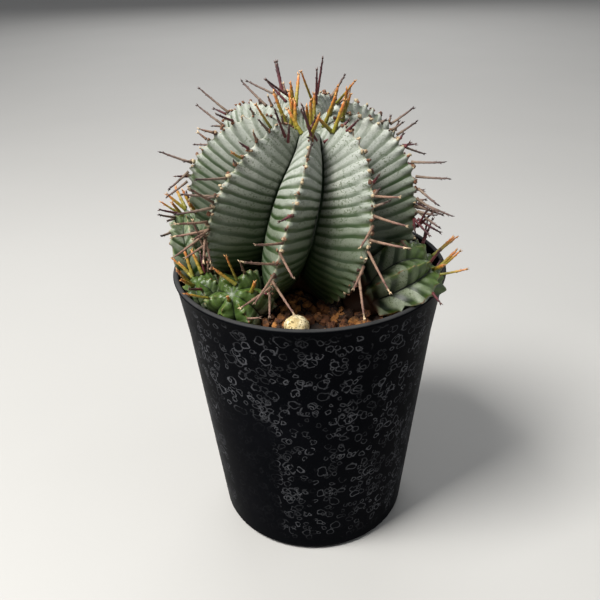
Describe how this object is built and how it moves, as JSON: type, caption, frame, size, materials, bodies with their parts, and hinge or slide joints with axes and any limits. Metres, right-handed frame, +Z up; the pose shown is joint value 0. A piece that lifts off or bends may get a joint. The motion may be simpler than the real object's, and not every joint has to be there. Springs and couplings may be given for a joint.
{
  "type": "potted euphorbia",
  "caption": "Ribbed globe-shaped succulent with dry flower stalks and small offsets, growing in gritty soil in a round tapered plastic pot.",
  "frame": {"origin": "middle of the pot's flat underside", "axes": "+Z up through the pot, -Y towards the front, +X to the right seen from the front"},
  "size_m": [0.0932, 0.0959, 0.1638],
  "materials": {
    "pot_plastic": "satin black plastic with pale dried water rings",
    "soil_grit": "rough baked clay grains",
    "pellet_beige": "matte, mottled",
    "stem_skin": "waxy grey-green bloom with darker bands",
    "offset_green_skin": "glossy green",
    "offset_grey_skin": "waxy grey-green",
    "stalk_woody": "dry, matte",
    "stalk_tan": "dry, matte",
    "stalk_maroon": "dry, matte",
    "stalk_young": "fresh, satin"
  },
  "bodies": {
    "root": {"fertiliser_pellet": "pellet_beige", "main_stem": "stem_skin", "offset_back_left": "offset_grey_skin", "offset_front_left": "offset_green_skin", "offset_left": "offset_green_skin", "offset_right": "offset_green_skin", "pot": "pot_plastic", "soil": "soil_grit", "stalk_main_stem_rib1_1": "stalk_maroon", "stalk_main_stem_rib1_2": "stalk_woody", "stalk_main_stem_rib1_3": "stalk_woody", "stalk_main_stem_rib1_4": "stalk_woody", "stalk_main_stem_rib1_5": "stalk_woody", "stalk_main_stem_rib1_6": "stalk_woody", "stalk_main_stem_rib1_7": "stalk_woody", "stalk_main_stem_rib1_8": "stalk_woody", "stalk_main_stem_rib2_1": "stalk_woody", "stalk_main_stem_rib2_2": "stalk_woody", "stalk_main_stem_rib2_3": "stalk_woody", "stalk_main_stem_rib2_4": "stalk_woody", "stalk_main_stem_rib2_5": "stalk_woody", "stalk_main_stem_rib2_6": "stalk_woody", "stalk_main_stem_rib2_7": "stalk_woody", "stalk_main_stem_rib3_1": "stalk_young", "stalk_main_stem_rib3_2": "stalk_tan", "stalk_main_stem_rib3_3": "stalk_tan", "stalk_main_stem_rib3_4": "stalk_tan", "stalk_main_stem_rib3_5": "stalk_tan", "stalk_main_stem_rib3_6": "stalk_maroon", "stalk_main_stem_rib4_1": "stalk_young", "stalk_main_stem_rib4_2": "stalk_tan", "stalk_main_stem_rib4_3": "stalk_tan", "stalk_main_stem_rib4_4": "stalk_tan", "stalk_main_stem_rib5_1": "stalk_young", "stalk_main_stem_rib5_2": "stalk_maroon", "stalk_main_stem_rib5_3": "stalk_tan", "stalk_main_stem_rib6_1": "stalk_maroon", "stalk_main_stem_rib6_2": "stalk_maroon", "stalk_main_stem_rib6_3": "stalk_tan", "stalk_main_stem_rib7_1": "stalk_tan", "stalk_main_stem_rib7_2": "stalk_tan", "stalk_main_stem_rib7_3": "stalk_tan", "stalk_main_stem_rib8_1": "stalk_maroon", "stalk_main_stem_rib8_2": "stalk_tan", "stalk_main_stem_rib8_3": "stalk_tan", "stalk_main_stem_rib8_4": "stalk_tan", "stalk_main_stem_rib9_1": "stalk_young", "stalk_main_stem_rib9_2": "stalk_young", "stalk_main_stem_rib9_3": "stalk_tan", "stalk_main_stem_rib9_4": "stalk_woody", "stalk_main_stem_rib9_5": "stalk_woody", "stalk_main_stem_rib9_6": "stalk_woody", "stalk_offset_back_left_rib5_1": "stalk_young", "stalk_offset_front_left_rib3_1": "stalk_young", "stalk_offset_front_left_rib5_1": "stalk_young", "stalk_offset_left_rib4_1": "stalk_young", "stalk_offset_right_rib1_1": "stalk_young", "stalk_offset_right_rib3_1": "stalk_young", "stalk_offset_right_rib4_1": "stalk_young"}
  },
  "joints": []
}
